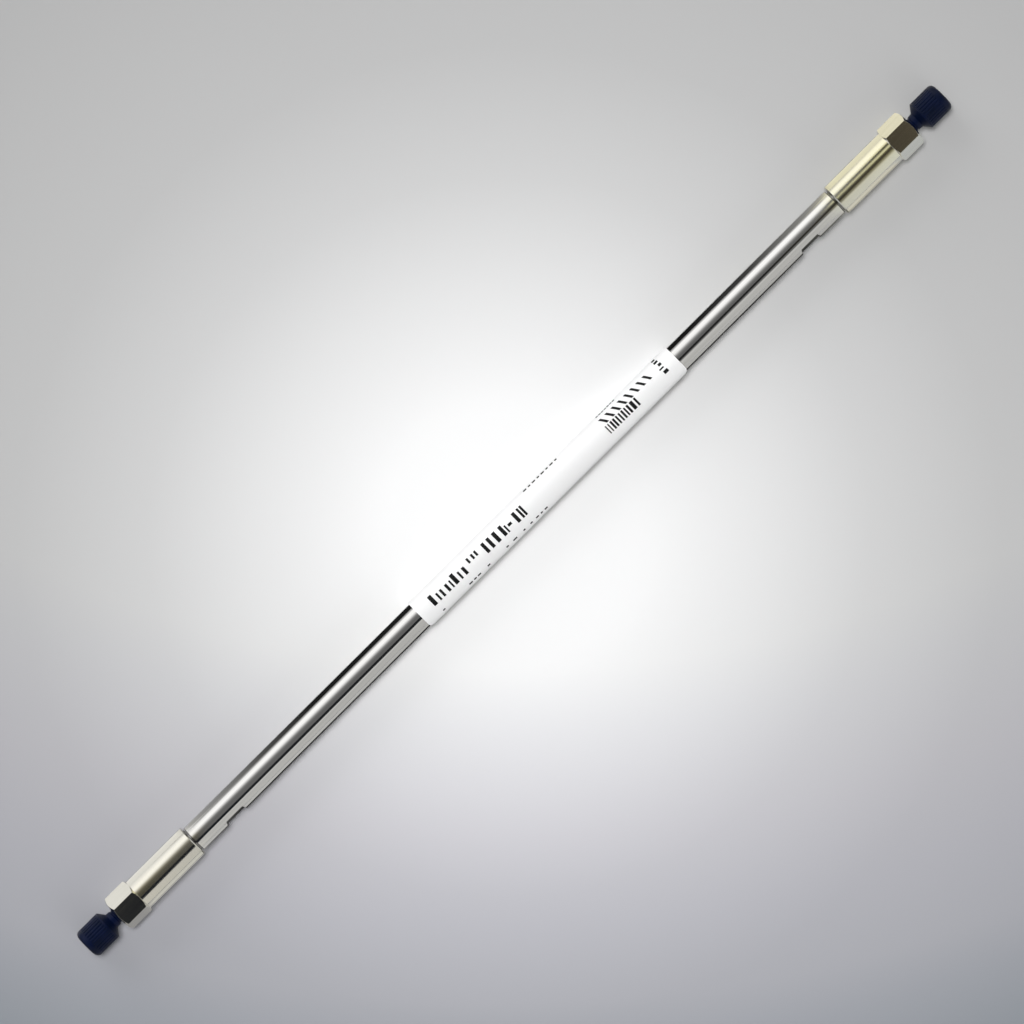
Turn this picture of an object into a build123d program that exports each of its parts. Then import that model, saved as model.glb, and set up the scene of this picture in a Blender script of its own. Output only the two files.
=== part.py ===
"""Packed analytical column for liquid chromatography, lying on its two hexagons.

A long stainless tube holds the packed bed.  Each end of the tube is threaded into a
one-piece fitting: a hexagon with a turned sleeve that reaches back over the tube.
Inside each fitting the tube presses a frit, held in its sealing ring, against the floor
of a pocket.  A screwed port in the outer face of each fitting is closed by a blue
finger-tight plug, and a wrap label is stuck round the middle of the tube.

The X axis is the axis of the column, with the inlet end at -X and the outlet end at +X.
The origin is on that axis, half way along.  Z points up, and the lower flat of the outlet
hexagon faces -Z.  All sizes are in millimetres and degrees.
"""
from build123d import *
from math import cos, degrees, radians, sin, tan
import os

os.makedirs("parts", exist_ok=True)

# Tube
tube_length = 250.0
tube_diameter = 7.94
tube_bore = 4.6
engagement = 6.25             # length of tube inside each fitting
screw_step = 0.42             # how far the screwed ends are turned down, on the radius
relief_depth = 0.35           # groove that the thread runs out into, below the thread
relief_gap = 0.8              # stretch of the groove that shows at the mouth of the sleeve
relief_run_in = 0.5           # stretch of the groove inside the sleeve
tube_edge = 0.15              # chamfer on the shoulder beside the groove
screw_end_chamfer = 0.4

# Milled flats, one near each end of the tube, for a holding spanner or a clip
flat_to_sleeve = 9.25
flat_length = 6.8
flat_depth = 0.84
flat_clock = 5.0              # turn of the flats up from -Y, about the axis

# End fittings
hex_across_flats = 9.525
hex_length = 7.7
sleeve_length = 20.1
sleeve_turning = 0.11         # how far the sleeve is turned below the flats, on the radius
sleeve_chamfer = 0.3
hex_face_step = 0.26          # how far the end face circle lies inside the flats
hex_chamfer_angle = 30.0      # slope of the domed corner chamfers where they start
inlet_clock = 7.5             # turn of the inlet hexagon from the outlet one
screw_clearance = 0.03        # radial, tube thread in sleeve
mouth_chamfer = 0.25
screw_run_out = 0.6

# Frit and its sealing ring
ring_step = 0.1               # how far the ring lies inside the thread it passes, on the radius
ring_thickness = 2.0
ring_edge = 0.15
pocket_clearance = 0.05
frit_margin = 0.3             # how far the frit reaches past the tube's bore
distributor_margin = 0.2      # how far the distributor cone stays inside the tube's bore
distributor_depth = 0.35
capillary_diameter = 0.5

# Port for a plug or a capillary nut
port_diameter = 4.75
port_depth = 8.0
port_countersink = 0.4
port_cone_half_angle = 20.0
pilot_diameter = 1.65
pilot_length = 2.0

# Plug
stud_clearance = 0.08         # radial, plug thread in port
stud_end_gap = 1.0            # from the end of the plug thread to the end of the port thread
stud_end_chamfer = 0.3
nose_diameter = 3.4
nose_tip_diameter = 1.8
seal_gap = 0.2                # along the axis, nose to port cone
neck_length = 2.15            # stud that shows between fitting and head
head_diameter = 8.5
head_length = 7.85
head_cone_length = 1.5
head_round = 1.4
groove_count = 30             # straight grip grooves round the head
groove_width = 0.5
groove_depth = 0.2
grip_collar = 0.5             # plain collar at each end of the grooves

# Label
label_length = 95.0
label_width = 22.0            # unrolled, round the tube
label_thickness = 0.4
label_centre = 12.45
label_edge_angle = 176.0      # edge that shows, from +Y over +Z
label_corner = 2.0
adhesive_film = 0.03

# How far a cutting outline reaches past the face that it cuts
cutter_reach = 1.0

# Places along the axis, worked out for the outlet end
tube_end = tube_length / 2
sleeve_mouth = tube_end - engagement
hex_shoulder = sleeve_mouth + sleeve_length
hex_face = hex_shoulder + hex_length
pocket_floor = tube_end + ring_thickness
port_end = hex_face - port_depth
head_start = hex_face + neck_length
head_end = head_start + head_cone_length + head_length

# Radii
tube_radius = tube_diameter / 2
bore_radius = tube_bore / 2
screw_radius = tube_radius - screw_step
relief_radius = screw_radius - relief_depth
flat_radius = hex_across_flats / 2
sleeve_radius = flat_radius - sleeve_turning
sleeve_bore_radius = screw_radius + screw_clearance
ring_radius = screw_radius - ring_step
pocket_radius = ring_radius + pocket_clearance
frit_radius = bore_radius + frit_margin
distributor_radius = bore_radius - distributor_margin
capillary_radius = capillary_diameter / 2
port_radius = port_diameter / 2
face_radius = flat_radius - hex_face_step
pilot_radius = pilot_diameter / 2
stud_radius = port_radius - stud_clearance
head_radius = head_diameter / 2


def port_cone_place(radius):
    """Place along the axis where the cone of the outlet port has this radius."""
    return port_end - (port_radius - radius) / tan(radians(port_cone_half_angle))


# The tube is turned at both ends and milled flat near each of them.
with BuildPart() as column_tube:
    groove_start = sleeve_mouth - relief_gap
    groove_end = sleeve_mouth + relief_run_in
    with BuildSketch(Plane.XZ):
        with BuildLine():
            Polyline(
                (0, bore_radius),
                (tube_end, bore_radius),
                (tube_end, screw_radius - screw_end_chamfer),
                (tube_end - screw_end_chamfer, screw_radius),
                (groove_end, screw_radius),
                (groove_end, relief_radius),
                (groove_start, relief_radius),
                (groove_start, tube_radius - tube_edge),
                (groove_start - tube_edge, tube_radius),
                (0, tube_radius),
                close=True,
            )
        make_face()
    revolve(axis=Axis.X)
    mirror(about=Plane.YZ)

    flat_centre = sleeve_mouth - flat_to_sleeve - flat_length / 2
    flat_floor = tube_radius - flat_depth
    half_at_floor = flat_length / 2 - flat_depth
    half_at_reach = flat_length / 2 + cutter_reach
    with BuildSketch(Plane.XY.rotated((-flat_clock, 0, 0))):
        with BuildLine():
            Polyline(
                (flat_centre - half_at_reach, -tube_radius - cutter_reach),
                (flat_centre - half_at_floor, -flat_floor),
                (flat_centre + half_at_floor, -flat_floor),
                (flat_centre + half_at_reach, -tube_radius - cutter_reach),
                close=True,
            )
        make_face()
        mirror(about=Plane.YZ)
    extrude(amount=tube_radius, both=True, mode=Mode.SUBTRACT)

column_tube.part.label = "column_tube"
export_step(column_tube.part, "parts/column_tube.step")


# The packing fills the bore of the tube from frit to frit.
with BuildPart() as packed_bed:
    with BuildSketch(Plane.YZ):
        Circle(bore_radius)
    extrude(amount=tube_length / 2, both=True)

packed_bed.part.label = "packed_bed"
export_step(packed_bed.part, "parts/packed_bed.step")


# Each fitting is one piece of hexagon bar, turned down to the sleeve and bored from both
# ends: screw and frit pocket from the tube side, port and sealing cone from outside.
with BuildPart() as outlet_end_fitting:
    with BuildSketch(Plane.YZ.offset(hex_shoulder)):
        RegularPolygon(radius=flat_radius, side_count=6, major_radius=False)
    extrude(amount=hex_length)

    chamfer_start = radians(hex_chamfer_angle)
    for end, start_radius, inward in ((hex_face, face_radius, -1), (hex_shoulder, sleeve_radius, 1)):
        dome_radius = start_radius / sin(chamfer_start)
        dome_centre = end + inward * dome_radius * cos(chamfer_start)
        with BuildSketch(Plane.XZ):
            with BuildLine():
                Polyline((end, start_radius), (end, 0), (dome_centre, 0), (dome_centre, dome_radius))
                RadiusArc((dome_centre, dome_radius), (end, start_radius), -inward * dome_radius)
            make_face()
        revolve(axis=Axis.X, mode=Mode.INTERSECT)

    with BuildSketch(Plane.YZ.offset(sleeve_mouth)):
        Circle(sleeve_radius)
    extrude(amount=sleeve_length)
    mouth_edge = outlet_end_fitting.edges().filter_by(GeomType.CIRCLE).sort_by(Axis.X)[0]
    chamfer(mouth_edge, sleeve_chamfer)

    pilot_start = port_cone_place(pilot_radius)
    with BuildSketch(Plane.XZ):
        with BuildLine():
            Polyline(
                (sleeve_mouth, 0),
                (sleeve_mouth, sleeve_bore_radius + mouth_chamfer),
                (sleeve_mouth + mouth_chamfer, sleeve_bore_radius),
                (tube_end + screw_run_out, sleeve_bore_radius),
                (tube_end + screw_run_out, pocket_radius),
                (pocket_floor, pocket_radius),
                (pocket_floor, distributor_radius),
                (pocket_floor + distributor_depth, capillary_radius),
                (pilot_start - pilot_length, capillary_radius),
                (pilot_start - pilot_length, pilot_radius),
                (pilot_start, pilot_radius),
                (port_end, port_radius),
                (hex_face - port_countersink, port_radius),
                (hex_face, port_radius + port_countersink),
                (hex_face, 0),
                close=True,
            )
        make_face()
    revolve(axis=Axis.X, mode=Mode.SUBTRACT)

outlet_end_fitting.part.label = "outlet_end_fitting"
export_step(outlet_end_fitting.part, "parts/outlet_end_fitting.step")


# The inlet fitting is the same piece, screwed up to a stop a few degrees away.
with BuildPart() as inlet_end_fitting:
    add(outlet_end_fitting.part.mirror(Plane.YZ).rotate(Axis.X, inlet_clock))

inlet_end_fitting.part.label = "inlet_end_fitting"
export_step(inlet_end_fitting.part, "parts/inlet_end_fitting.step")


# Sealing ring: the tube end clamps it against the pocket floor.
with BuildPart() as outlet_frit_ring:
    with BuildSketch(Plane.YZ.offset(tube_end)):
        Circle(ring_radius)
        Circle(frit_radius, mode=Mode.SUBTRACT)
    extrude(amount=ring_thickness)
    outer_edges = outlet_frit_ring.edges().filter_by(GeomType.CIRCLE).group_by(SortBy.RADIUS)[-1]
    chamfer(outer_edges, ring_edge)

outlet_frit_ring.part.label = "outlet_frit_ring"
export_step(outlet_frit_ring.part, "parts/outlet_frit_ring.step")

with BuildPart() as inlet_frit_ring:
    add(outlet_frit_ring.part.mirror(Plane.YZ))

inlet_frit_ring.part.label = "inlet_frit_ring"
export_step(inlet_frit_ring.part, "parts/inlet_frit_ring.step")


# Frit: a disc of sintered metal pressed into the ring.
with BuildPart() as outlet_frit:
    with BuildSketch(Plane.YZ.offset(tube_end)):
        Circle(frit_radius)
    extrude(amount=ring_thickness)

outlet_frit.part.label = "outlet_frit"
export_step(outlet_frit.part, "parts/outlet_frit.step")

with BuildPart() as inlet_frit:
    add(outlet_frit.part.mirror(Plane.YZ))

inlet_frit.part.label = "inlet_frit"
export_step(inlet_frit.part, "parts/inlet_frit.step")


# Plug: a moulded head with a grooved grip on a stud, whose conical nose closes the port cone.
with BuildPart() as outlet_plug:
    nose_radius = nose_diameter / 2
    nose_tip_radius = nose_tip_diameter / 2
    stud_end = port_end + stud_end_gap
    head_cylinder = head_start + head_cone_length
    with BuildSketch(Plane.XZ):
        with BuildLine():
            Polyline(
                (port_cone_place(nose_tip_radius) + seal_gap, 0),
                (port_cone_place(nose_tip_radius) + seal_gap, nose_tip_radius),
                (port_cone_place(nose_radius) + seal_gap, nose_radius),
                (stud_end, nose_radius),
                (stud_end, stud_radius - stud_end_chamfer),
                (stud_end + stud_end_chamfer, stud_radius),
                (head_start, stud_radius),
                (head_cylinder, head_radius),
                (head_end, head_radius),
                (head_end, 0),
                close=True,
            )
        make_face()
    revolve(axis=Axis.X)
    end_edge = outlet_plug.edges().filter_by(GeomType.CIRCLE).sort_by(Axis.X)[-1]
    fillet(end_edge, head_round)
    grip_start = head_cylinder + grip_collar
    grip_length = head_length - head_round - 2 * grip_collar
    groove_floor = head_radius - groove_depth
    groove_reach = groove_floor + 2 * groove_depth
    with BuildSketch(Plane.YZ.offset(grip_start)):
        with BuildLine():
            Polyline(
                (groove_floor, 0),
                (groove_reach, groove_width),
                (groove_reach, -groove_width),
                close=True,
            )
        one_groove = make_face()
        with PolarLocations(0, groove_count):
            add(one_groove)
    extrude(amount=grip_length, mode=Mode.SUBTRACT)

outlet_plug.part.label = "outlet_plug"
export_step(outlet_plug.part, "parts/outlet_plug.step")

with BuildPart() as inlet_plug:
    add(outlet_plug.part.mirror(Plane.YZ))

inlet_plug.part.label = "inlet_plug"
export_step(inlet_plug.part, "parts/inlet_plug.step")


# Label: a thick laminated wrap that stops short of meeting itself under the tube.
with BuildPart() as label:
    label_inside = tube_radius + adhesive_film
    label_outside = label_inside + label_thickness
    label_turn = degrees(label_width / label_outside)
    with BuildSketch(Plane.YZ.offset(label_centre)):
        with BuildLine():
            outer = CenterArc((0, 0), label_outside, label_edge_angle, -label_turn)
            inner = CenterArc((0, 0), label_inside, label_edge_angle, -label_turn)
            Line(outer @ 0, inner @ 0)
            Line(outer @ 1, inner @ 1)
        make_face()
    extrude(amount=label_length / 2, both=True)

    corner_inset = label_length / 2 - label_corner
    cutter_side = label_corner + cutter_reach
    long_edges = ((label_edge_angle, 1), (label_edge_angle - label_turn, -1))
    for edge_angle, inward in long_edges:
        edge_normal = Vector(0, 1, 0).rotate(Axis.X, edge_angle)
        with BuildSketch(Plane(origin=(label_centre, 0, 0), x_dir=(1, 0, 0), z_dir=edge_normal)):
            with Locations((corner_inset + cutter_side / 2, inward * (label_corner - cutter_side / 2))):
                Rectangle(cutter_side, cutter_side)
            with Locations((corner_inset, inward * label_corner)):
                Circle(label_corner, mode=Mode.SUBTRACT)
            mirror(about=Plane.YZ)
        extrude(amount=label_outside + cutter_reach, mode=Mode.SUBTRACT)

label.part.label = "label"
export_step(label.part, "parts/label.step")
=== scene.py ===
import math

import bmesh
import bpy
from mathutils import Matrix, Vector


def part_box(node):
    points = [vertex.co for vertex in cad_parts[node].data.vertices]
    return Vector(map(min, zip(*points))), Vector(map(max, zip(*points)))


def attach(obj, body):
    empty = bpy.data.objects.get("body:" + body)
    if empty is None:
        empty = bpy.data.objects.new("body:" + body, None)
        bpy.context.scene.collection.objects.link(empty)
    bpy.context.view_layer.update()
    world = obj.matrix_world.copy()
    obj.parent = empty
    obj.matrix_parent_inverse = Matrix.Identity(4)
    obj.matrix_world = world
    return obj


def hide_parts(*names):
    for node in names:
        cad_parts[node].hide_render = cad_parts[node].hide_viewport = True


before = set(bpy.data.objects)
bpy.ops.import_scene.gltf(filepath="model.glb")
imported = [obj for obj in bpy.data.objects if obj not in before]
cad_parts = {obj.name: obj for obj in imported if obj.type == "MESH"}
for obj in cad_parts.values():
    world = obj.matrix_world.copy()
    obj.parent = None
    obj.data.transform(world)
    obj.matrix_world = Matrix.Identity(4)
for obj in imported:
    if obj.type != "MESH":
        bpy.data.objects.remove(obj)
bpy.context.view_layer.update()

mm = 0.001


# ---------------------------------------------------------------------------------------------
# Column tube.  Cold drawn stainless steel of 5/16 in., polished along its length.  The screwed
# ends and the grooves beside them are turned and the two flats milled; all else is fixed to it.

tube_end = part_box("column_tube")[1].x
sleeve_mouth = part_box("outlet_end_fitting")[0].x
tube_radius = 3.97 * mm
bore_radius = 2.3 * mm
screw_radius = 3.55 * mm
screw_end_chamfer = 0.4 * mm
groove_radius = 3.2 * mm
groove_gap = 0.5 * mm                 # of the groove, this much shows at the mouth of the sleeve
groove_run_in = 0.5 * mm
tube_edge = 0.15 * mm
tube_facets = 240
weld_distance = 0.001 * mm            # corners that lie closer than this are one
smooth_turn = math.radians(32)        # faces that meet more sharply than this show an edge
flat_length = 6.8 * mm
flat_depth = 0.84 * mm
flat_to_sleeve = 9.25 * mm
flat_turn = math.radians(13)          # of both flats, up from -Y
flat_run_out = 1.7                    # rise over run of the slopes that the cutter leaves at both ends
near_flat = 0.9                       # faces above this share of the floor's height lie round a flat
polish_line_length = 30 * mm
polish_line_spacing = 0.22 * mm       # real lines lie closer, and would not show at this size
polish_streak_length = 70 * mm
polish_streak_width = 1.1 * mm
cutter_mark_spacing = 0.3 * mm
cut_below_skin = 0.04 * mm            # what lies this far below the drawn skin has been cut
cut_painted_shade = 0.4                        # of the polished tone, where it has been cut: painted shade that darkens the flats and grooves
cut_roughness = 0.14                  # more than the polished roughness, where it has been cut
wave_period = 0.314                   # of a wave texture at scale 1


def linear(hex_colour):
    """An sRGB hex colour as the linear colour that a shader takes."""
    channels = [int(hex_colour[place:place + 2], 16) / 255 for place in (1, 3, 5)]
    return [c / 12.92 if c <= 0.04045 else ((c + 0.055) / 1.055) ** 2.4 for c in channels] + [1.0]


def add_node(tree, kind, settings=None, links=None, stops=None, **options):
    """Adds a node.  Options are its properties, settings its inputs' values, links the sockets
    that feed its inputs, and stops the places and hex colours of a colour ramp."""
    node = tree.nodes.new(kind)
    for name, value in options.items():
        setattr(node, name, value)
    for name, value in (settings or {}).items():
        node.inputs[name].default_value = value
    for name, socket in (links or {}).items():
        tree.links.new(socket, node.inputs[name])
    for number, (place, colour) in enumerate(stops or ()):
        elements = node.color_ramp.elements
        element = elements.new(place) if number > 1 else elements[number]
        element.position = place
        element.color = linear(colour)
    return node


def start_material(name):
    """A new material with an empty node tree, and the coordinates its patterns are laid out on."""
    material = bpy.data.materials.new(name)
    material.use_nodes = True
    material.node_tree.nodes.clear()
    place = add_node(material.node_tree, "ShaderNodeTexCoord").outputs["Object"]
    return material, material.node_tree, place


def finish_material(tree, shader):
    """Leads a shader to the surface."""
    add_node(tree, "ShaderNodeOutputMaterial", links={"Surface": shader.outputs[0]})


def distance_from_axis(tree, place):
    """How far the surface lies from the axis of the column."""
    from_axis = add_node(
        tree, "ShaderNodeVectorMath", operation="MULTIPLY", links={0: place}, settings={1: (0, 1, 1)},
    )
    radius = add_node(
        tree, "ShaderNodeVectorMath", operation="LENGTH", links={0: from_axis.outputs[0]},
    )
    return radius.outputs["Value"]


def polished_stainless():
    """Stainless steel 316, drawn and then polished lengthwise: a bright grey mirror, softened by
    faint lines along the tube, with rougher cutter marks and painted shade where it has been milled or
    turned."""
    material, tree, place = start_material("polished_stainless")
    across_lines = add_node(
        tree, "ShaderNodeMapping", links={"Vector": place},
        settings={"Scale": (1 / polish_line_length, 1 / polish_line_spacing, 1 / polish_line_spacing)},
    )
    lines = add_node(
        tree, "ShaderNodeTexNoise", links={"Vector": across_lines.outputs[0]},
        settings={"Scale": 1.0, "Detail": 3.0, "Roughness": 0.6},
    )
    across_streaks = add_node(
        tree, "ShaderNodeMapping", links={"Vector": place},
        settings={"Scale": (1 / polish_streak_length, 1 / polish_streak_width, 1 / polish_streak_width)},
    )
    streaks = add_node(
        tree, "ShaderNodeTexNoise", links={"Vector": across_streaks.outputs[0]},
        settings={"Scale": 1.0, "Detail": 2.0},
    )
    colour = add_node(
        tree, "ShaderNodeValToRGB", links={"Fac": streaks.outputs["Fac"]},
        stops=((0.3, "#C9C8C6"), (0.7, "#D3D2D0")),
    )
    cut = add_node(
        tree, "ShaderNodeMapRange", links={"Value": distance_from_axis(tree, place)},
        settings={
            "From Min": tube_radius - 2 * cut_below_skin,
            "From Max": tube_radius - cut_below_skin,
            "To Min": 1.0,
            "To Max": 0.0,
        },
    )
    cutter_marks = add_node(
        tree, "ShaderNodeTexWave", links={"Vector": place}, bands_direction="X",
        settings={"Scale": wave_period / cutter_mark_spacing, "Distortion": 0.6, "Detail": 2.0},
    )
    polished_roughness = add_node(
        tree, "ShaderNodeMapRange", links={"Value": lines.outputs["Fac"]},
        settings={"From Min": 0.3, "From Max": 0.7, "To Min": 0.055, "To Max": 0.11},
    )
    roughness = add_node(
        tree, "ShaderNodeMath", operation="MULTIPLY_ADD",
        links={0: cut.outputs[0], 2: polished_roughness.outputs[0]}, settings={1: cut_roughness},
    )
    line_relief = add_node(
        tree, "ShaderNodeBump", links={"Height": lines.outputs["Fac"]},
        settings={"Strength": 0.35, "Distance": 0.004 * mm},
    )
    mark_relief = add_node(
        tree, "ShaderNodeBump", settings={"Distance": 0.008 * mm},
        links={
            "Height": cutter_marks.outputs["Fac"],
            "Strength": cut.outputs[0],
            "Normal": line_relief.outputs[0],
        },
    )
    # painted shade: the tone of the steel is darkened where it has been cut, so the flats and grooves
    # read dark
    painted_shade_on_cut = add_node(
        tree, "ShaderNodeMapRange", links={"Value": cut.outputs[0]},
        settings={"To Min": 1.0, "To Max": cut_painted_shade},
    )
    tone = add_node(
        tree, "ShaderNodeVectorMath", operation="SCALE",
        links={0: colour.outputs["Color"], "Scale": painted_shade_on_cut.outputs[0]},
    )
    steel = add_node(
        tree, "ShaderNodeBsdfPrincipled", settings={"Metallic": 1.0},
        links={
            "Base Color": tone.outputs[0],
            "Roughness": roughness.outputs[0],
            "Normal": mark_relief.outputs[0],
        },
    )
    finish_material(tree, steel)
    return material


def make_piece(name, shape, material, body):
    """Turns a finished shape into a piece that moves with a body."""
    bmesh.ops.recalc_face_normals(shape, faces=shape.faces)
    mesh = bpy.data.meshes.new(name)
    shape.to_mesh(mesh)
    shape.free()
    mesh.materials.append(material)
    mesh.polygons.foreach_set("use_smooth", [True] * len(mesh.polygons))
    mesh.set_sharp_from_angle(angle=smooth_turn)
    piece = bpy.data.objects.new(name, mesh)
    bpy.context.scene.collection.objects.link(piece)
    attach(piece, body)
    return piece


def drawn_tube():
    """The tube before it is milled: one outline of bore, screwed ends and skin, spun round X."""
    groove_start = sleeve_mouth - groove_gap
    groove_end = sleeve_mouth + groove_run_in
    half = [
        (tube_end, bore_radius),
        (tube_end, screw_radius - screw_end_chamfer),
        (tube_end - screw_end_chamfer, screw_radius),
        (groove_end, screw_radius),
        (groove_end, groove_radius),
        (groove_start, groove_radius),
        (groove_start, tube_radius - tube_edge),
        (groove_start - tube_edge, tube_radius),
    ]
    outline = half + [(-x, r) for x, r in reversed(half)]
    shape = bmesh.new()
    corners = [shape.verts.new((x, 0, r)) for x, r in outline]
    chain = [shape.edges.new(pair) for pair in zip(corners, corners[1:] + corners[:1])]
    bmesh.ops.spin(
        shape, geom=corners + chain, cent=(0, 0, 0), axis=(1, 0, 0), angle=math.tau,
        steps=tube_facets, use_merge=True,
    )
    bmesh.ops.remove_doubles(shape, verts=shape.verts, dist=weld_distance)
    return shape


def score(shape, faces, place, direction):
    """Cuts faces in two where a plane crosses them, and leaves their form as it is."""
    edges = {edge for face in faces for edge in face.edges}
    corners = {corner for face in faces for corner in face.verts}
    bmesh.ops.bisect_plane(
        shape, geom=[*corners, *edges, *faces], plane_co=place, plane_no=direction,
    )


def mill_flat(shape, centre):
    """Mills one flat with sloping ends: the skin is scored round the cut, then what stands above
    the path of the cutter is brought down to it."""
    outwards = Vector((0, -math.cos(flat_turn), math.sin(flat_turn)))
    floor_height = tube_radius - flat_depth
    half_floor = flat_length / 2 - flat_depth / flat_run_out

    def skin(nearest, farthest):
        """The faces round the flat whose middle lies this far from its middle, along X."""
        return [
            face for face in shape.faces
            if all(corner.co.dot(outwards) > near_flat * floor_height for corner in face.verts)
            and nearest < face.calc_center_median().x - centre < farthest
        ]

    for x in (-flat_length / 2, -half_floor, half_floor, flat_length / 2):
        score(shape, skin(-2 * tube_end, 2 * tube_end), (centre + x, 0, 0), (1, 0, 0))
    score(shape, skin(-half_floor, half_floor), floor_height * outwards, outwards)
    for side in (-1, 1):
        slope_start = Vector((centre + side * half_floor, 0, 0)) + floor_height * outwards
        slope_up = (outwards - Vector((side * flat_run_out, 0, 0))).normalized()
        limits = sorted((side * half_floor, side * flat_length / 2))
        score(shape, skin(*limits), slope_start, slope_up)
    for corner in shape.verts:
        from_centre = abs(corner.co.x - centre)
        path_height = floor_height + flat_run_out * max(0.0, from_centre - half_floor)
        above = corner.co.dot(outwards) - path_height
        if from_centre < flat_length / 2 and above > 0:
            corner.co -= above * outwards


tube = drawn_tube()
flat_centre = sleeve_mouth - flat_to_sleeve - flat_length / 2
mill_flat(tube, flat_centre)
mill_flat(tube, -flat_centre)
piece = make_piece("milled_tube", tube, polished_stainless(), "column")
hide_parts("column_tube")


# ---------------------------------------------------------------------------------------------
# Packed bed.  Fine white particles of about 0.01 mm, packed into the bore under pressure, so
# that they stand as one chalky mass from frit to frit.  Only the two ends could ever be seen.

particle_clump = 0.12 * mm            # clumps stand in for the particles, which are far finer


def packing():
    """Porous particles packed dry: matt, chalky white, with the faintest grain."""
    material, tree, place = start_material("packing")
    grain = add_node(
        tree, "ShaderNodeTexVoronoi", links={"Vector": place}, settings={"Scale": 1 / particle_clump},
    )
    colour = add_node(
        tree, "ShaderNodeValToRGB", links={"Fac": grain.outputs["Distance"]},
        stops=((0.0, "#F1EFE9"), (0.8, "#DDDAD2")),
    )
    relief = add_node(
        tree, "ShaderNodeBump", links={"Height": grain.outputs["Distance"]}, invert=True,
        settings={"Strength": 0.6, "Distance": 0.03 * mm},
    )
    powder = add_node(
        tree, "ShaderNodeBsdfPrincipled", settings={"Roughness": 0.95, "IOR": 1.45},
        links={"Base Color": colour.outputs["Color"], "Normal": relief.outputs[0]},
    )
    finish_material(tree, powder)
    return material


def dress(material, *nodes):
    """Gives solid parts their material."""
    for node in nodes:
        for material_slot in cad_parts[node].material_slots:
            material_slot.material = material


dress(packing(), "packed_bed")


# ---------------------------------------------------------------------------------------------
# Frits and their sealing rings.  Each frit is a disc of sintered steel powder, pressed into a
# turned ring of natural polymer that the tube clamps against the floor of the fitting.

sinter_grain = 0.09 * mm
ring_turning_pitch = 0.12 * mm


def sintered_steel():
    """Steel powder sintered to a porous disc: dull grey grains that touch, with painted shade in the
    pores between them.
    """
    material, tree, place = start_material("sintered_steel")
    grain = add_node(
        tree, "ShaderNodeTexVoronoi", links={"Vector": place}, settings={"Scale": 1 / sinter_grain},
    )
    # painted shade: darker towards the pores between the grains
    colour = add_node(
        tree, "ShaderNodeValToRGB", links={"Fac": grain.outputs["Distance"]},
        stops=((0.35, "#B3B0AC"), (0.75, "#4A4846")),
    )
    relief = add_node(
        tree, "ShaderNodeBump", links={"Height": grain.outputs["Distance"]}, invert=True,
        settings={"Strength": 0.8, "Distance": 0.03 * mm},
    )
    powder_steel = add_node(
        tree, "ShaderNodeBsdfPrincipled", settings={"Metallic": 1.0, "Roughness": 0.5},
        links={"Base Color": colour.outputs["Color"], "Normal": relief.outputs[0]},
    )
    finish_material(tree, powder_steel)
    return material


def seal_polymer():
    """Natural polyether ether ketone, turned from rod: opaque tan with fine turning rings."""
    material, tree, place = start_material("seal_polymer")
    turning = add_node(
        tree, "ShaderNodeTexWave", links={"Vector": place}, bands_direction="X",
        settings={"Scale": wave_period / ring_turning_pitch, "Distortion": 0.4},
    )
    colour = add_node(
        tree, "ShaderNodeValToRGB", links={"Fac": turning.outputs["Fac"]},
        stops=((0.0, "#B99F78"), (1.0, "#C6AE88")),
    )
    relief = add_node(
        tree, "ShaderNodeBump", links={"Height": turning.outputs["Fac"]},
        settings={"Strength": 0.3, "Distance": 0.01 * mm},
    )
    polymer = add_node(
        tree, "ShaderNodeBsdfPrincipled", settings={"Roughness": 0.42, "IOR": 1.65},
        links={"Base Color": colour.outputs["Color"], "Normal": relief.outputs[0]},
    )
    finish_material(tree, polymer)
    return material


dress(seal_polymer(), "inlet_frit_ring", "outlet_frit_ring")
dress(sintered_steel(), "inlet_frit", "outlet_frit")


# ---------------------------------------------------------------------------------------------
# End fittings.  Each is one piece of stainless hexagon bar: the sleeve, the end face and the
# domed chamfers are turned, and the six flats keep the bright drawn skin of the bar.

fitting_low, fitting_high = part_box("outlet_end_fitting")
sleeve_length = 20.1 * mm
hex_shoulder = fitting_low.x + sleeve_length
hex_face = fitting_high.x
turning_pitch = 0.16 * mm             # real feed marks are half as wide
bar_line_spacing = 0.2 * mm
bar_line_length = 12 * mm
broken_edge = 0.1 * mm                # the sharp corners are broken with a file
hex_margin = 0.01 * mm                # keeps the end faces of the hexagon out of its drawn skin


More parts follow.
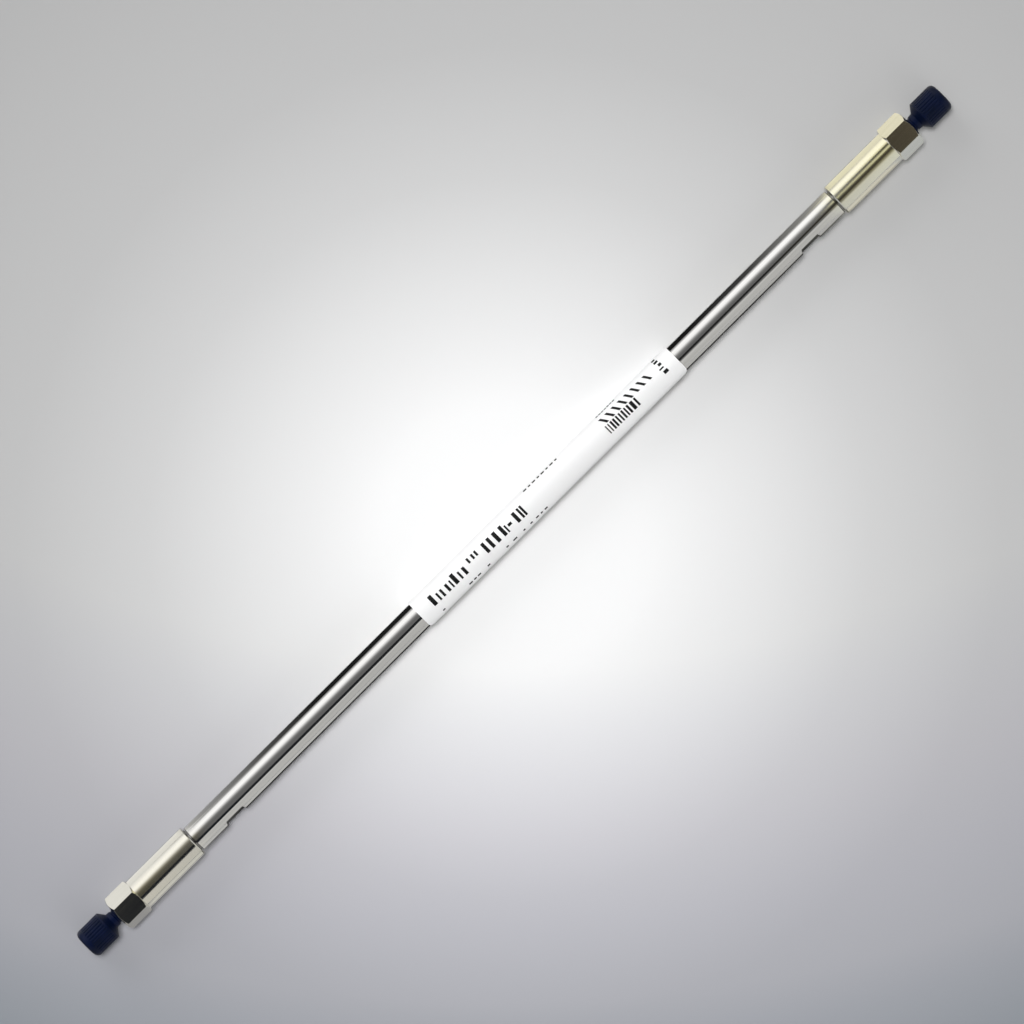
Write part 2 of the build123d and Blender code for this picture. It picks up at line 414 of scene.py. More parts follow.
def turned_stainless():
    """Stainless steel fresh from the lathe: bright, with fine rings that spread reflections
    along the axis, and straight drawing lines on the flats of the hexagon."""
    material, tree, place = start_material("turned_stainless")
    parts = add_node(tree, "ShaderNodeSeparateXYZ", links={"Vector": place})
    along = add_node(tree, "ShaderNodeMath", operation="ABSOLUTE", links={0: parts.outputs["X"]})
    feed = add_node(
        tree, "ShaderNodeMath", operation="ADD",
        links={0: along.outputs[0], 1: distance_from_axis(tree, place)},
    )
    feed_place = add_node(tree, "ShaderNodeCombineXYZ", links={"X": feed.outputs[0]})
    turning = add_node(
        tree, "ShaderNodeTexNoise", noise_dimensions="1D", links={"W": feed.outputs[0]},
        settings={"Scale": 1 / turning_pitch, "Detail": 3.0, "Roughness": 0.65},
    )
    rings = add_node(
        tree, "ShaderNodeTexWave", links={"Vector": feed_place.outputs[0]}, bands_direction="X",
        settings={"Scale": wave_period / turning_pitch},
    )
    across_bar_lines = add_node(
        tree, "ShaderNodeMapping", links={"Vector": place},
        settings={"Scale": (1 / bar_line_length, 1 / bar_line_spacing, 1 / bar_line_spacing)},
    )
    bar_lines = add_node(
        tree, "ShaderNodeTexNoise", links={"Vector": across_bar_lines.outputs[0]},
        settings={"Scale": 1.0, "Detail": 3.0},
    )
    on_hexagon = add_node(
        tree, "ShaderNodeMath", operation="COMPARE", links={0: along.outputs[0]},
        settings={1: (hex_shoulder + hex_face) / 2, 2: (hex_face - hex_shoulder) / 2 - hex_margin},
    )
    lathe_work = add_node(
        tree, "ShaderNodeMath", operation="SUBTRACT", links={1: on_hexagon.outputs[0]},
        settings={0: 1.0},
    )
    worked = add_node(
        tree, "ShaderNodeMix",
        links={0: on_hexagon.outputs[0], 2: turning.outputs["Fac"], 3: bar_lines.outputs["Fac"]},
    )
    colour = add_node(
        tree, "ShaderNodeValToRGB", links={"Fac": worked.outputs[0]},
        stops=((0.3, "#CBC9C0"), (0.7, "#D6D4CC")),
    )
    roughness = add_node(
        tree, "ShaderNodeMapRange", links={"Value": worked.outputs[0]},
        settings={"From Min": 0.3, "From Max": 0.7, "To Min": 0.09, "To Max": 0.15},
    )
    rounded = add_node(tree, "ShaderNodeBevel", samples=6, settings={"Radius": broken_edge})
    ring_relief = add_node(
        tree, "ShaderNodeBump", settings={"Distance": 0.002 * mm},
        links={
            "Height": rings.outputs["Fac"],
            "Strength": lathe_work.outputs[0],
            "Normal": rounded.outputs[0],
        },
    )
    bar_relief = add_node(
        tree, "ShaderNodeBump", settings={"Distance": 0.003 * mm},
        links={
            "Height": bar_lines.outputs["Fac"],
            "Strength": on_hexagon.outputs[0],
            "Normal": ring_relief.outputs[0],
        },
    )
    steel = add_node(
        tree, "ShaderNodeBsdfPrincipled", settings={"Metallic": 1.0},
        links={
            "Base Color": colour.outputs["Color"],
            "Roughness": roughness.outputs[0],
            "Normal": bar_relief.outputs[0],
        },
    )
    finish_material(tree, steel)
    return material


fitting_steel = turned_stainless()
dress(fitting_steel, "inlet_end_fitting", "outlet_end_fitting")


# ---------------------------------------------------------------------------------------------
# Port threads.  The port in each end face is cut with a 10-32 thread, of 32 turns to the inch,
# which shows when its plug is out.  Each thread is a ridge that stands inwards from the port.

thread_pitch = 25.4 / 32 * mm
thread_steps = 48                     # faces in one turn
port_radius = 2.375 * mm
port_depth = 8.0 * mm
port_countersink = 0.4 * mm
port_thread_reach = 0.375 * mm        # from the port wall to the crest of the thread
port_thread_width = 0.62 * mm         # at the port wall
ridge_crest_width = 0.12 * mm
ridge_seat = 0.03 * mm                # how far a ridge is let into what it stands on
end_for_end = Matrix.Rotation(math.pi, 4, "Z")


def thread_ridge(shape, start, end, base_radius, crest_radius, base_width):
    """Adds the ridge of a right-handed thread along X, chamfered by 45 degrees at both ends.
    Its crest lies inside its base in a port, and outside it on a stud."""
    outwards = 1 if crest_radius > base_radius else -1
    seat_radius = base_radius - outwards * ridge_seat
    outline = (
        (-base_width / 2, seat_radius),
        (-ridge_crest_width / 2, crest_radius),
        (ridge_crest_width / 2, crest_radius),
        (base_width / 2, seat_radius),
    )
    section = shape.faces.new([shape.verts.new((start + x, 0, r)) for x, r in outline])
    turns = (end - start) / thread_pitch
    steps = round(turns * thread_steps)
    already_there = set(shape.verts) - set(section.verts)
    bmesh.ops.spin(
        shape, geom=[section], cent=(0, 0, 0), axis=(1, 0, 0), angle=math.tau * steps / thread_steps,
        steps=steps, dvec=(thread_pitch / thread_steps, 0, 0),
    )
    for vertex in set(shape.verts) - already_there:
        radius = math.hypot(vertex.co.y, vertex.co.z)
        height = outwards * (radius - base_radius)
        room = min(vertex.co.x - start, end - vertex.co.x)
        lowered = max(min(height, room), -ridge_seat)
        scale = (base_radius + outwards * lowered) / radius
        vertex.co.y *= scale
        vertex.co.z *= scale


for end_name in ("outlet", "inlet"):
    port_thread = bmesh.new()
    thread_ridge(
        port_thread,
        start=hex_face - port_depth + thread_pitch / 2,
        end=hex_face - port_countersink,
        base_radius=port_radius,
        crest_radius=port_radius - port_thread_reach,
        base_width=port_thread_width,
    )
    if end_name == "inlet":
        port_thread.transform(end_for_end)
    make_piece(end_name + "_port_thread", port_thread, fitting_steel, "column")


# ---------------------------------------------------------------------------------------------
# Plugs.  Each is one moulding of navy polymer, screwed in by hand: a grooved head, a threaded
# stud and a conical nose that closes the cone at the bottom of the port.

plug_low, plug_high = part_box("outlet_plug")
nose_tip_radius = 0.9 * mm
nose_radius = 1.7 * mm
nose_half_angle = math.radians(20)
stud_to_port_floor = 1.0 * mm
stud_end = hex_face - port_depth + stud_to_port_floor
stud_root_radius = 1.9 * mm
stud_crest_radius = 2.29 * mm
stud_thread_width = 0.7 * mm          # at the root of the stud
stud_chamfer = 0.15 * mm
neck_length = 2.15 * mm
plain_neck = 1.4 * mm                 # left without thread, below the head
neck_shoulder = 0.2 * mm
neck_taper = 0.1 * mm                 # how much the neck widens towards the head
head_radius = 4.25 * mm
head_cone_length = 1.5 * mm
head_round = 1.4 * mm
round_steps = 10
grip_collar = 0.5 * mm
groove_count = 30
groove_width = 0.5 * mm
groove_depth = 0.2 * mm
groove_run_out = 0.06 * mm
steps_per_groove = 8
mould_grain = 0.14 * mm
mould_flow = 3 * mm                   # how far apart its tone drifts


def plug_polymer():
    """Navy acetal, injection moulded: opaque, nearly black, with the soft sheen of a spark-eroded
    mould and a tone that drifts a little where the melt has flowed."""
    material, tree, place = start_material("plug_polymer")
    grain = add_node(
        tree, "ShaderNodeTexNoise", links={"Vector": place},
        settings={"Scale": 1 / mould_grain, "Detail": 2.0},
    )
    flow = add_node(
        tree, "ShaderNodeTexNoise", links={"Vector": place},
        settings={"Scale": 1 / mould_flow, "Detail": 2.0},
    )
    colour = add_node(
        tree, "ShaderNodeValToRGB", links={"Fac": flow.outputs["Fac"]},
        stops=((0.35, "#010A22"), (0.7, "#040F2D")),
    )
    roughness = add_node(
        tree, "ShaderNodeMapRange", links={"Value": grain.outputs["Fac"]},
        settings={"From Min": 0.3, "From Max": 0.7, "To Min": 0.34, "To Max": 0.46},
    )
    relief = add_node(
        tree, "ShaderNodeBump", links={"Height": grain.outputs["Fac"]},
        settings={"Strength": 0.4, "Distance": 0.01 * mm},
    )
    polymer = add_node(
        tree, "ShaderNodeBsdfPrincipled", settings={"IOR": 1.48, "Specular IOR Level": 0.13},
        links={
            "Base Color": colour.outputs["Color"],
            "Roughness": roughness.outputs[0],
            "Normal": relief.outputs[0],
        },
    )
    finish_material(tree, polymer)
    return material


def plug_shape():
    """The outlet plug: its outline is spun round the axis, its grooves are pressed into the
    head, and the thread is laid on the stud."""
    nose_tip = plug_low.x
    nose_shoulder = nose_tip + (nose_radius - nose_tip_radius) / math.tan(nose_half_angle)
    thread_end = hex_face + neck_length - plain_neck
    head_start = hex_face + neck_length
    grip_start = head_start + head_cone_length + grip_collar
    head_end = plug_high.x
    grip_end = head_end - head_round - grip_collar
    outline = [
        (nose_tip, 0),
        (nose_tip, nose_tip_radius),
        (nose_shoulder, nose_radius),
        (stud_end, nose_radius),
        (stud_end + stud_chamfer, nose_radius + stud_chamfer),
        (stud_end + stud_chamfer, stud_root_radius),
        (thread_end, stud_root_radius),
        (thread_end + neck_shoulder, stud_crest_radius - neck_taper),
        (head_start, stud_crest_radius),
        (head_start + head_cone_length, head_radius),
        (grip_start, head_radius),
        (grip_start + groove_run_out, head_radius),
        (grip_end - groove_run_out, head_radius),
        (grip_end, head_radius),
    ]
    for step in range(round_steps + 1):
        turn = math.pi / 2 * step / round_steps
        outline.append((
            head_end - head_round + head_round * math.sin(turn),
            head_radius - head_round + head_round * math.cos(turn),
        ))
    outline.append((head_end, 0))

    shape = bmesh.new()
    corners = [shape.verts.new((x, 0, r)) for x, r in outline]
    chain = [shape.edges.new(pair) for pair in zip(corners, corners[1:])]
    bmesh.ops.spin(
        shape, geom=corners + chain, cent=(0, 0, 0), axis=(1, 0, 0), angle=math.tau,
        steps=groove_count * steps_per_groove, use_merge=True,
    )
    bmesh.ops.remove_doubles(shape, verts=shape.verts, dist=weld_distance)
    groove_pitch = math.tau / groove_count
    for vertex in shape.verts:
        if grip_start + groove_run_out / 2 < vertex.co.x < grip_end - groove_run_out / 2:
            turn = math.atan2(vertex.co.y, vertex.co.z)
            from_groove = abs(turn - groove_pitch * round(turn / groove_pitch)) * head_radius
            depth = groove_depth * max(0.0, 1 - from_groove / (groove_width / 2))
            vertex.co.y *= 1 - depth / head_radius
            vertex.co.z *= 1 - depth / head_radius
    thread_ridge(
        shape,
        start=stud_end,
        end=thread_end,
        base_radius=stud_root_radius,
        crest_radius=stud_crest_radius,
        base_width=stud_thread_width,
    )
    return shape


navy_polymer = plug_polymer()
for end_name in ("outlet", "inlet"):
    plug = plug_shape()
    if end_name == "inlet":
        plug.transform(end_for_end)
    piece = make_piece(
        end_name + "_plug_moulding", plug, navy_polymer, end_name + "_closure",
    )
    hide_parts(end_name + "_plug")


# ---------------------------------------------------------------------------------------------
# Label.  A white laminated film, 0.4 mm thick and rounded at its corners, rolled round the tube
# by hand and held by its own adhesive, so that it lies a little unevenly.

label_start, label_end = [corner.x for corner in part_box("label")]
label_radius = 4.4 * mm
label_width = 22 * mm                 # unrolled
label_thickness = 0.4 * mm
label_corner = 3.3 * mm
cut_edge_reach = (0.12 * mm, 0.02 * mm)   # below the face, from the grey of the edge to the white
label_edge_turn = math.radians(-86)   # where the edge that shows lies, towards +Y from straight up
corner_facets = 12
wrap_step = 0.2 * mm                  # widest stretch of a rolled sheet that stays flat
film_dimple = 9 * mm                  # how far apart the hand has left it uneven
film_grain = 0.25 * mm


def label_film():
    """White polyester film with a clear laminate: satin, very slightly uneven over the adhesive,
    and a little grey at the cut edges, where the adhesive shows."""
    material, tree, place = start_material("label_film")
    dimples = add_node(
        tree, "ShaderNodeTexNoise", links={"Vector": place},
        settings={"Scale": 1 / film_dimple, "Detail": 2.0},
    )
    grain = add_node(
        tree, "ShaderNodeTexNoise", links={"Vector": place},
        settings={"Scale": 1 / film_grain, "Detail": 2.0},
    )
    face = add_node(
        tree, "ShaderNodeMapRange", links={"Value": distance_from_axis(tree, place)},
        settings={
            "From Min": label_radius - cut_edge_reach[0],
            "From Max": label_radius - cut_edge_reach[1],
        },
    )
    colour = add_node(
        tree, "ShaderNodeValToRGB", links={"Fac": face.outputs[0]},
        stops=((0.0, "#CFCDC8"), (1.0, "#F8F8F8")),
    )
    dimple_relief = add_node(
        tree, "ShaderNodeBump", links={"Height": dimples.outputs["Fac"]},
        settings={"Strength": 0.5, "Distance": 0.6 * mm},
    )
    relief = add_node(
        tree, "ShaderNodeBump",
        links={"Height": grain.outputs["Fac"], "Normal": dimple_relief.outputs[0]},
        settings={"Strength": 0.15, "Distance": 0.01 * mm},
    )
    film = add_node(
        tree, "ShaderNodeBsdfPrincipled", settings={"Roughness": 0.38, "IOR": 1.5},
        links={"Base Color": colour.outputs["Color"], "Normal": relief.outputs[0]},
    )
    finish_material(tree, film)
    return material


def roll_on(sheet, middle_turn):
    """Rolls a flat sheet round the tube, face out, with its middle turned this far towards +Y."""
    extent = max(abs(vertex.co.y) for vertex in sheet.verts)
    cuts = math.ceil(extent / wrap_step)
    for cut in range(-cuts, cuts + 1):
        bmesh.ops.bisect_plane(
            sheet, geom=sheet.verts[:] + sheet.edges[:] + sheet.faces[:],
            plane_co=(0, cut * wrap_step, 0), plane_no=(0, 1, 0),
        )
    for vertex in sheet.verts:
        turn = middle_turn + vertex.co.y / label_radius
        radius = label_radius + vertex.co.z
        vertex.co.y = radius * math.sin(turn)
        vertex.co.z = radius * math.cos(turn)


label = bmesh.new()
bmesh.ops.create_grid(label, x_segments=1, y_segments=1, size=0.5)
bmesh.ops.scale(label, vec=(label_end - label_start, label_width, 1), verts=label.verts)
bmesh.ops.bevel(
    label, geom=label.verts[:], offset=label_corner, offset_type="OFFSET", affect="VERTICES",
    segments=corner_facets, profile=0.5, material=-1,
)
extruded = bmesh.ops.extrude_face_region(label, geom=label.faces[:])
glued_side = [part for part in extruded["geom"] if isinstance(part, bmesh.types.BMVert)]
bmesh.ops.translate(label, vec=(0, 0, -label_thickness), verts=glued_side)
bmesh.ops.translate(label, vec=((label_start + label_end) / 2, 0, 0), verts=label.verts)
roll_on(label, label_edge_turn + label_width / 2 / label_radius)
bmesh.ops.dissolve_degenerate(label, dist=weld_distance, edges=label.edges)
piece = make_piece("rolled_label", label, label_film(), "column")
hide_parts("label")


# ---------------------------------------------------------------------------------------------
# Label print.  Black ink under the laminate: heavy blocks where a title goes, a bar code, a row
# of slanting strokes and rows of small dashes.  It is laid out flat, then rolled on the film.

ink_height = 0.02 * mm
ribbon_skip = 0.3 * mm
print_turn = math.radians(5)          # the middle of the print is turned this far towards +Y


def printing_ink():
    """Black resin ink: dense and matt, a little thin in places where the ribbon has skipped."""
    material, tree, place = start_material("printing_ink")
    skips = add_node(
        tree, "ShaderNodeTexNoise", links={"Vector": place},
        settings={"Scale": 1 / ribbon_skip, "Detail": 3.0},
    )
    colour = add_node(
        tree, "ShaderNodeValToRGB", links={"Fac": skips.outputs["Fac"]},
        stops=((0.5, "#070708"), (0.85, "#2C2C30")),
    )
    ink = add_node(
        tree, "ShaderNodeBsdfPrincipled",
        settings={"Roughness": 0.5, "IOR": 1.5, "Specular IOR Level": 0.25},
        links={"Base Color": colour.outputs["Color"]},
    )
    finish_material(tree, ink)
    return material


def block(sheet, along, across, length, width, slant=0.0):
    """Prints one block on the flat sheet.  Sizes are millimetres from the middle of the column,
    and across is positive towards +Y.  Slant leans the block's sides along the column."""
    size = Matrix.Diagonal((length * mm, width * mm, 2 * ink_height, 1))
    shear = Matrix.Identity(4)
    shear[0][1] = slant
    centre = Matrix.Translation((along * mm, across * mm, 0))
    bmesh.ops.create_cube(sheet, size=1, matrix=centre @ shear @ size)


sheet = bmesh.new()

# Title: two groups of heavy upright blocks, tall and low, and three small raised ones between
title_across = 0.3
tall = 3.2
low = 2.3
tall_and_low = (
    (-29.9, 1.15, tall), (-28.0, 0.6, low), (-26.6, 0.7, low), (-24.7, 0.8, low), (-23.3, 0.5, low),
    (-21.9, 1.15, tall), (-20.1, 0.6, low), (-18.4, 0.9, low),
    (-10.4, 0.95, tall), (-8.5, 0.95, tall), (-6.4, 1.1, tall), (-4.1, 1.0, tall), (-2.9, 0.5, low),
    (0.9, 1.0, tall), (2.5, 0.65, tall), (3.5, 0.65, tall),
)
small_raised = (-16.0, -14.4, -13.2)
for along, length, height in tall_and_low:
    block(sheet, along, title_across - (tall - height) / 2, length, height)
block(sheet, -1.5, title_across - 0.1, 1.2, 0.75)
for along in small_raised:
    block(sheet, along, title_across + 0.8, 0.65, 1.6)

# Bar code, and the row of slanting strokes above it
bar_across = -0.52
bars = (
    (34.15, 0.35), (35.02, 0.35), (35.98, 0.6), (36.91, 0.6), (37.93, 0.5), (38.95, 0.5),
    (39.95, 0.6), (40.95, 0.5), (41.95, 0.65), (43.3, 1.0), (44.65, 0.6),
)
for along, length in bars:
    block(sheet, along, bar_across, length, 2.55)
first_stroke = 34.95
stroke_pitch = 2.28
for number in range(8):
    block(sheet, first_stroke + stroke_pitch * number, 2.22, 0.8, 2.3, slant=-0.6)

# Rows of small dashes, and a turned row of blocks near the outlet end
first_long_dash = 7.5
long_dash_pitch = 1.62
for number in range(8):
    block(sheet, first_long_dash + long_dash_pitch * number, 4.45, 1.1 - 0.35 * (number % 2), 0.6)
first_short_dash = 34.4
short_dash_pitch = 1.0
for number in range(7):
    block(sheet, first_short_dash + short_dash_pitch * number, 5.1, 0.7, 0.5)
turned_blocks = (
    (55.1, 5.1, 1.1, 0.9), (55.3, 3.7, 1.3, 0.8), (55.7, 2.3, 1.0, 0.85), (55.3, 1.05, 1.5, 0.4),
    (55.7, -0.25, 1.4, 0.95),
)
for along, across, length, width in turned_blocks:
    block(sheet, along, across, length, width)
lower_dashes = (
    (-29.4, 0.8), (-19.5, 1.2), (-17.9, 0.9), (-16.4, 1.1), (-12.9, 0.9), (-6.0, 0.8),
    (-3.2, 1.4), (0.2, 0.7), (2.8, 0.8), (5.0, 1.0), (6.6, 0.7), (8.2, 1.0),
)
for along, length in lower_dashes:
    block(sheet, along, -4.15, length, 0.55)

roll_on(sheet, print_turn)
make_piece("label_print", sheet, printing_ink(), "column")


# ---------------------------------------------------------------------------------------------
# Studio.  A pale floor under the two hexagons, with a painted pool of light, and sun lamps for
# soft even light.  Glowing reflectors over the column, a dark slot and cards on the floor are no
# lamps and light nothing: seen in gloss alone, they band the steel with painted reflections.

floor_reach = 2.5
floor_gap = 0.01 * mm                 # keeps the floor from lying in the plane of a hexagon flat
floor_under_outlet = fitting_low.z - floor_gap
floor_under_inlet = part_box("inlet_end_fitting")[0].z - floor_gap
foot_spacing = hex_shoulder + hex_face
reflector_radius = 0.30
reflector_reach = 0.75
reflector_steps = 64
reflected_share = 0.62                # what steel sends back; reflector tones are written as seen
roll = math.radians(44.85)            # of the camera, which is set up below
# The floor's tone is painted light: a pool brightest round this spot, and painted falloff towards the
# front.
painted_light_centre = (-4 * mm, -3 * mm, floor_under_outlet)
painted_light_reach = 190 * mm
painted_falloff_reach = (290 * mm, 690 * mm)
painted_falloff_origin = (250 * mm * math.sin(roll), 250 * mm * math.cos(roll), floor_under_outlet)


def stage_piece(name, shape, material, seen_in_gloss_only=False):
    """Puts a shape on the stage; a reflector is seen only in glossy surfaces."""
    mesh = bpy.data.meshes.new(name)
    shape.to_mesh(mesh)
    shape.free()
    mesh.materials.append(material)
    piece = bpy.data.objects.new(name, mesh)
    bpy.context.scene.collection.objects.link(piece)
    if seen_in_gloss_only:
        piece.visible_camera = False
        piece.visible_diffuse = False
        piece.visible_transmission = False
        piece.visible_volume_scatter = False
        piece.visible_shadow = False
    return piece


def floor_paper():
    """Matt white paper with a painted pool of light, brightest in the middle, and painted falloff to a
    cooler grey where it rolls off in front.
    """
    material, tree, place = start_material("floor_paper")
    out = add_node(
        tree, "ShaderNodeVectorMath", operation="DISTANCE", links={0: place}, settings={1: painted_light_centre},
    )
    out_share = add_node(
        tree, "ShaderNodeMapRange", links={"Value": out.outputs["Value"]},
        settings={"From Max": painted_light_reach},
    )
    tone = add_node(
        tree, "ShaderNodeValToRGB", links={"Fac": out_share.outputs[0]},
        stops=(
            (0.0, "#FFFFFF"), (1.0, "#BEBEBE"), (0.18, "#FBFBFB"), (0.28, "#F1F1F1"),
            (0.36, "#E9E9E9"), (0.5, "#D8D8D8"), (0.68, "#C9C9C9"),
        ),
    )
    forwards = add_node(
        tree, "ShaderNodeVectorMath", operation="DISTANCE", links={0: place}, settings={1: painted_falloff_origin},
    )
    painted_falloff_share = add_node(
        tree, "ShaderNodeMapRange", links={"Value": forwards.outputs["Value"]},
        settings={"From Min": painted_falloff_reach[0], "From Max": painted_falloff_reach[1]},
    )
    # painted falloff: a cooler grey towards the front
    painted_falloff = add_node(
        tree, "ShaderNodeValToRGB", links={"Fac": painted_falloff_share.outputs[0]},
        stops=(
            (0.0, "#FFFFFF"), (1.0, "#FFFFFF"), (0.04, "#FAFAFC"), (0.11, "#F3F2F7"),
            (0.17, "#EBEBF2"), (0.22, "#E5E6ED"), (0.25, "#D9DCE4"), (0.29, "#CBD1D9"),
            (0.34, "#CED2D8"), (0.6, "#F2F2F4"),
        ),
    )
    colour = add_node(
        tree, "ShaderNodeVectorMath", operation="MULTIPLY",
        links={0: tone.outputs["Color"], 1: painted_falloff.outputs["Color"]},
    )
    paper = add_node(
        tree, "ShaderNodeBsdfDiffuse", settings={"Roughness": 0.5}, links={"Color": colour.outputs[0]},
    )
    finish_material(tree, paper)
    return material


def shine(tree, tone):
    """Makes a card shine so that steel sends back this tone."""
    light = add_node(
        tree, "ShaderNodeEmission", links={"Color": tone.outputs["Color"]},
        settings={"Strength": 1 / reflected_share},
    )
    finish_material(tree, light)


def glowing_reflector_card(name, start, end, stops):
    """A glowing half round card along X, seen only in gloss, that paints a reflection into the steel.
    Stops give its tone by the angle from straight up, in degrees towards +Y, as it is seen in the steel."""
    material, tree, place = start_material(name)
    parts = add_node(tree, "ShaderNodeSeparateXYZ", links={"Vector": place})
    turn = add_node(
        tree, "ShaderNodeMath", operation="ARCTAN2",
        links={0: parts.outputs["Y"], 1: parts.outputs["Z"]},
    )
    share = add_node(
        tree, "ShaderNodeMapRange", links={"Value": turn.outputs[0]},
        settings={"From Min": -math.pi / 2, "From Max": math.pi / 2},
    )
    tone = add_node(
        tree, "ShaderNodeValToRGB", links={"Fac": share.outputs[0]},
        stops=[((angle + 90) / 180, colour) for angle, colour in stops],
    )
    shine(tree, tone)
    shape = bmesh.new()
    ends = [shape.verts.new((x, -reflector_radius, 0)) for x in (start, end)]
    edge = shape.edges.new(ends)
    bmesh.ops.spin(
        shape, geom=ends + [edge], cent=(0, 0, 0), axis=(1, 0, 0), angle=-math.pi,
        steps=reflector_steps,
    )
    stage_piece(name, shape, material, seen_in_gloss_only=True)


def toned_along(name, start, end, stops):
    """Light of a tone that changes along X, for a flat card."""
    material, tree, place = start_material(name)
    parts = add_node(tree, "ShaderNodeSeparateXYZ", links={"Vector": place})
    share = add_node(
        tree, "ShaderNodeMapRange", links={"Value": parts.outputs["X"]},
        settings={"From Min": start, "From Max": end},
    )
    tone = add_node(
        tree, "ShaderNodeValToRGB", links={"Fac": share.outputs[0]},
        stops=[((x - start) / (end - start), colour) for x, colour in stops],
    )
    shine(tree, tone)
    return material


def flat_card(name, corners, material):
    """A flat card with these corners, seen only in glossy surfaces."""
    shape = bmesh.new()
    shape.faces.new([shape.verts.new(corner) for corner in corners])
    stage_piece(name, shape, material, seen_in_gloss_only=True)


def card_on_floor(name, low, high, stops):
    """A card that lies on the floor along the column, between two places across it."""
    corners = [
        (-card_reach, low, card_height), (card_reach, low, card_height),
        (card_reach, high, card_height), (-card_reach, high, card_height),
    ]
    flat_card(name, corners, toned_along(name, -card_reach, card_reach, stops))


floor = bmesh.new()
bmesh.ops.create_circle(floor, cap_ends=True, radius=floor_reach, segments=64)
floor.transform(
    Matrix.Translation((0, 0, (floor_under_outlet + floor_under_inlet) / 2))
    @ Matrix.Rotation(-math.atan2(floor_under_outlet - floor_under_inlet, foot_spacing), 4, "Y")
)
stage_piece("floor", floor, floor_paper())

# Tones of the half round reflectors, by degrees from straight up towards +Y
inlet_tones = (
    (-90, "#B9B8B2"), (-44, "#BCBAB6"), (-36, "#BCBAB6"), (-14, "#3C392C"), (0, "#48453A"),
    (8, "#524E42"), (15, "#646050"), (21, "#827E70"), (27, "#A8A498"), (34, "#D8D5CC"),
    (41, "#F4F2EC"), (55, "#F6F4F0"), (66, "#EAE8E6"), (90, "#DADAD8"),
)
middle_tones = (
    (-90, "#AEAEAC"), (-44, "#AFAFAD"), (-37, "#BEBEBC"), (-30, "#A8A8A6"), (-26, "#606060"),
    (8, "#606060"), (20, "#767676"), (27, "#949494"), (35, "#C6C6C6"), (44, "#F0F0F0"),
    (50, "#FCFCFC"), (70, "#F8F8F8"), (78, "#C0C0C0"), (90, "#707070"),
)
outlet_tones = (
    (-90, "#C6C7BE"), (-42, "#C6C6B8"), (-34, "#BCBAA6"), (-27, "#98957E"), (-18, "#706C50"),
    (-8, "#26220A"), (3, "#524E2E"), (12, "#DAD6AE"), (19, "#B4B08A"), (27, "#1E1A06"),
    (33, "#383410"), (40, "#D8D2A8"), (52, "#FEFBDF"), (72, "#FBF7DE"), (88, "#DCD8C6"),
)
inlet_card_end = -0.132
outlet_card_start = 0.132
glowing_reflector_card("inlet_reflector", -reflector_reach, inlet_card_end, inlet_tones)
glowing_reflector_card("reflector", inlet_card_end, outlet_card_start, middle_tones)
glowing_reflector_card("outlet_reflector", outlet_card_start, reflector_reach, outlet_tones)

# A dark glowing card seen only in gloss, a painted reflection of the slot the camera looks through; it
# runs askew and narrows to the outlet end
slot_height = 0.2
slot_corners = (                      # along the column, and degrees from straight up towards +Y
    (-0.222, -38.4), (-0.132, -38.4), (-0.130, -33.6), (-0.091, -33.6),
    (0.222, -5.6), (0.222, 4.0), (-0.222, -20.5),
)
flat_card(
    "camera_slot",
    [(x, slot_height * math.tan(math.radians(turn)), slot_height) for x, turn in slot_corners],
    toned_along("camera_slot", -0.2, 0.2, ((-0.2, "#171A20"), (0.2, "#564F42"), (0.1, "#1C1C1C"))),
)

# On the floor beside the column lies a glowing card, seen only in gloss, whose painted reflection is
# dark along the tube and pale at its ends
card_reach = 165 * mm
card_height = floor_under_outlet + 0.1 * mm
card_on_floor("floor_card", 7 * mm, reflector_radius, (
    (-165 * mm, "#DADADA"), (165 * mm, "#D8D5C6"), (-121 * mm, "#D8D7D5"), (-117 * mm, "#A0A09E"),
    (-112 * mm, "#8C8C8C"), (-90 * mm, "#4A4A4A"), (-72 * mm, "#1C1C1C"), (68 * mm, "#181818"),
    (90 * mm, "#3A3A3A"), (112 * mm, "#80807E"), (117 * mm, "#98968C"), (121 * mm, "#DCD8BE"),
))

# On the other side lie two more such cards, a dark one close to the tube and a pale one beyond it, seen
# only as painted reflections
shade_edge = -12 * mm
card_on_floor("shade_card", shade_edge, -1 * mm, (
    (-165 * mm, "#868688"), (165 * mm, "#989A9A"), (-141 * mm, "#868688"), (-138 * mm, "#9C9C9A"),
    (-121 * mm, "#9C9C9A"), (-117 * mm, "#606060"), (-104 * mm, "#343434"), (-92 * mm, "#101010"),
    (-55 * mm, "#1A1A1A"), (84 * mm, "#202020"), (104 * mm, "#3A3A38"), (117 * mm, "#60605C"),
    (121 * mm, "#A09E94"), (137 * mm, "#A3A197"), (139 * mm, "#989A9A"),
))
card_on_floor("pale_reflection_card", -90 * mm, shade_edge, (
    (-165 * mm, "#A0A0A2"), (165 * mm, "#AAADAF"), (-141 * mm, "#A0A0A2"), (-138 * mm, "#BCBCB8"),
    (-121 * mm, "#BCBCB8"), (-117 * mm, "#B4B4B2"), (117 * mm, "#A8A8A6"), (121 * mm, "#C4C2B8"),
    (137 * mm, "#C1BFB6"), (139 * mm, "#AAADAF"),
))


def sun(name, lean, share, softness):
    """A soft lamp that leans towards +Y from straight up, for a share of full daylight."""
    lamp = bpy.data.lights.new(name, "SUN")
    lamp.energy = math.pi * share
    lamp.angle = math.radians(softness)
    holder = bpy.data.objects.new(name, lamp)
    holder.rotation_euler = (-math.radians(lean), 0, 0)
    holder.visible_glossy = False
    bpy.context.scene.collection.objects.link(holder)


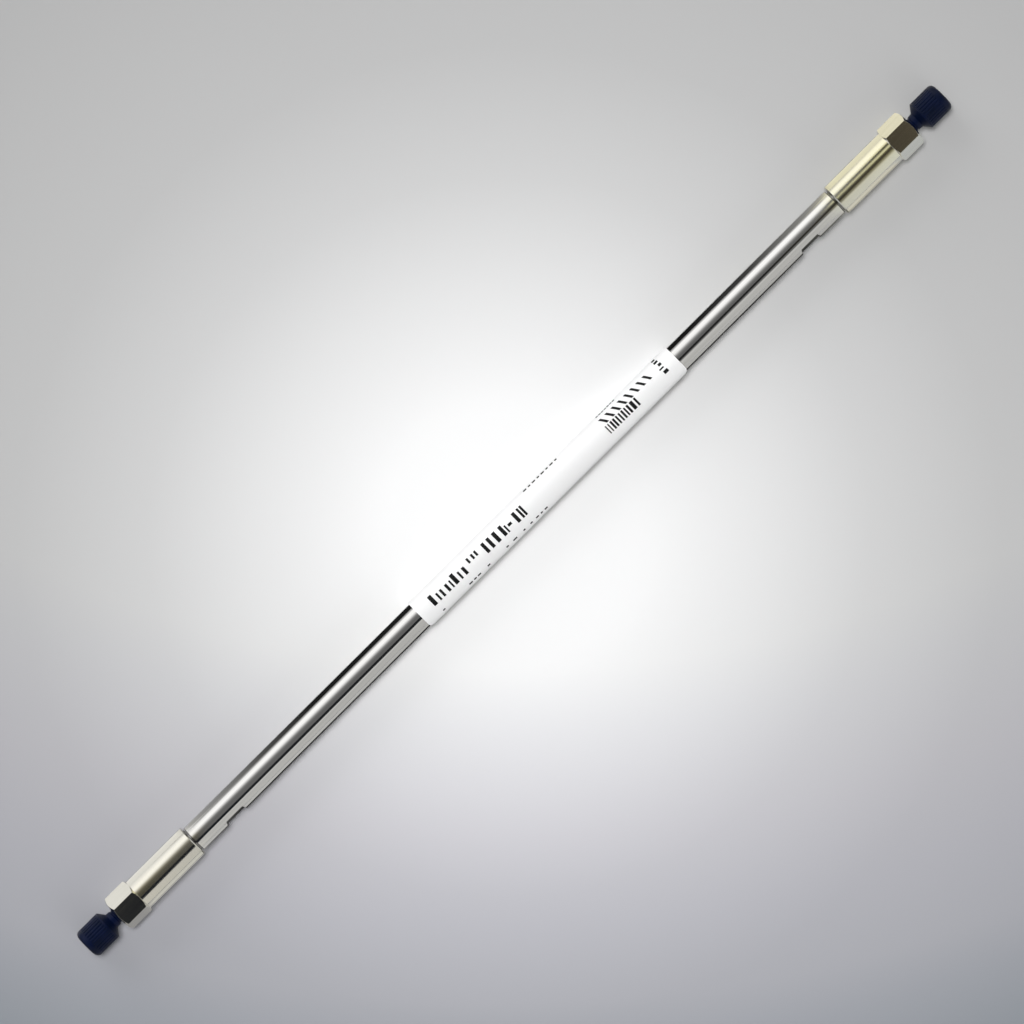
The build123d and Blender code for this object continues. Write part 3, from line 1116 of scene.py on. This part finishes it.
sun("top_light", lean=13, share=0.60, softness=18)
sun("key_light", lean=70, share=0.34, softness=40)
sun("fill_light", lean=-65, share=0.17, softness=40)

world_light = 0.24
world_seen = 0.8                      # by the camera, in gloss and through glass
world = bpy.data.worlds.new("studio")
world.use_nodes = True
world.node_tree.nodes.clear()
rays = add_node(world.node_tree, "ShaderNodeLightPath")
unlit = add_node(
    world.node_tree, "ShaderNodeMath", operation="MAXIMUM",
    links={0: rays.outputs["Is Camera Ray"], 1: rays.outputs["Is Glossy Ray"]},
)
seen = add_node(
    world.node_tree, "ShaderNodeMath", operation="MAXIMUM",
    links={0: unlit.outputs[0], 1: rays.outputs["Is Transmission Ray"]},
)
level = add_node(
    world.node_tree, "ShaderNodeMapRange", links={"Value": seen.outputs[0]},
    settings={"To Min": world_light, "To Max": world_seen},
)
surround = add_node(
    world.node_tree, "ShaderNodeBackground",
    settings={"Color": linear("#FAFBFC")}, links={"Strength": level.outputs[0]},
)
add_node(world.node_tree, "ShaderNodeOutputWorld", links={"Surface": surround.outputs[0]})
bpy.context.scene.world = world


# ---------------------------------------------------------------------------------------------
# Camera.  It looks down on the column from high up, leaning a little towards +Y, and is rolled
# so that the outlet end points to the upper right.

framed_width = 0.2682                 # of the view, at the column
lens = 300.0
sensor = 36.0
lean = math.radians(5)
centre_along = 1.14 * mm
centre_across = 2.02 * mm

back = Vector((0, math.sin(lean), math.cos(lean)))
along_view = Vector((1, 0, 0))
across_view = back.cross(along_view)
right = math.cos(roll) * along_view - math.sin(roll) * across_view
up = math.sin(roll) * along_view + math.cos(roll) * across_view
distance = framed_width * lens / sensor
target = centre_along * along_view + centre_across * across_view

camera_data = bpy.data.cameras.new("camera")
camera_data.lens = lens
camera_data.sensor_width = sensor
camera = bpy.data.objects.new("camera", camera_data)
camera.matrix_world = (
    Matrix.Translation(target + distance * back)
    @ Matrix((right, up, back)).transposed().to_4x4()
)
bpy.context.scene.collection.objects.link(camera)
bpy.context.scene.camera = camera
bpy.context.scene.view_settings.view_transform = "Standard"
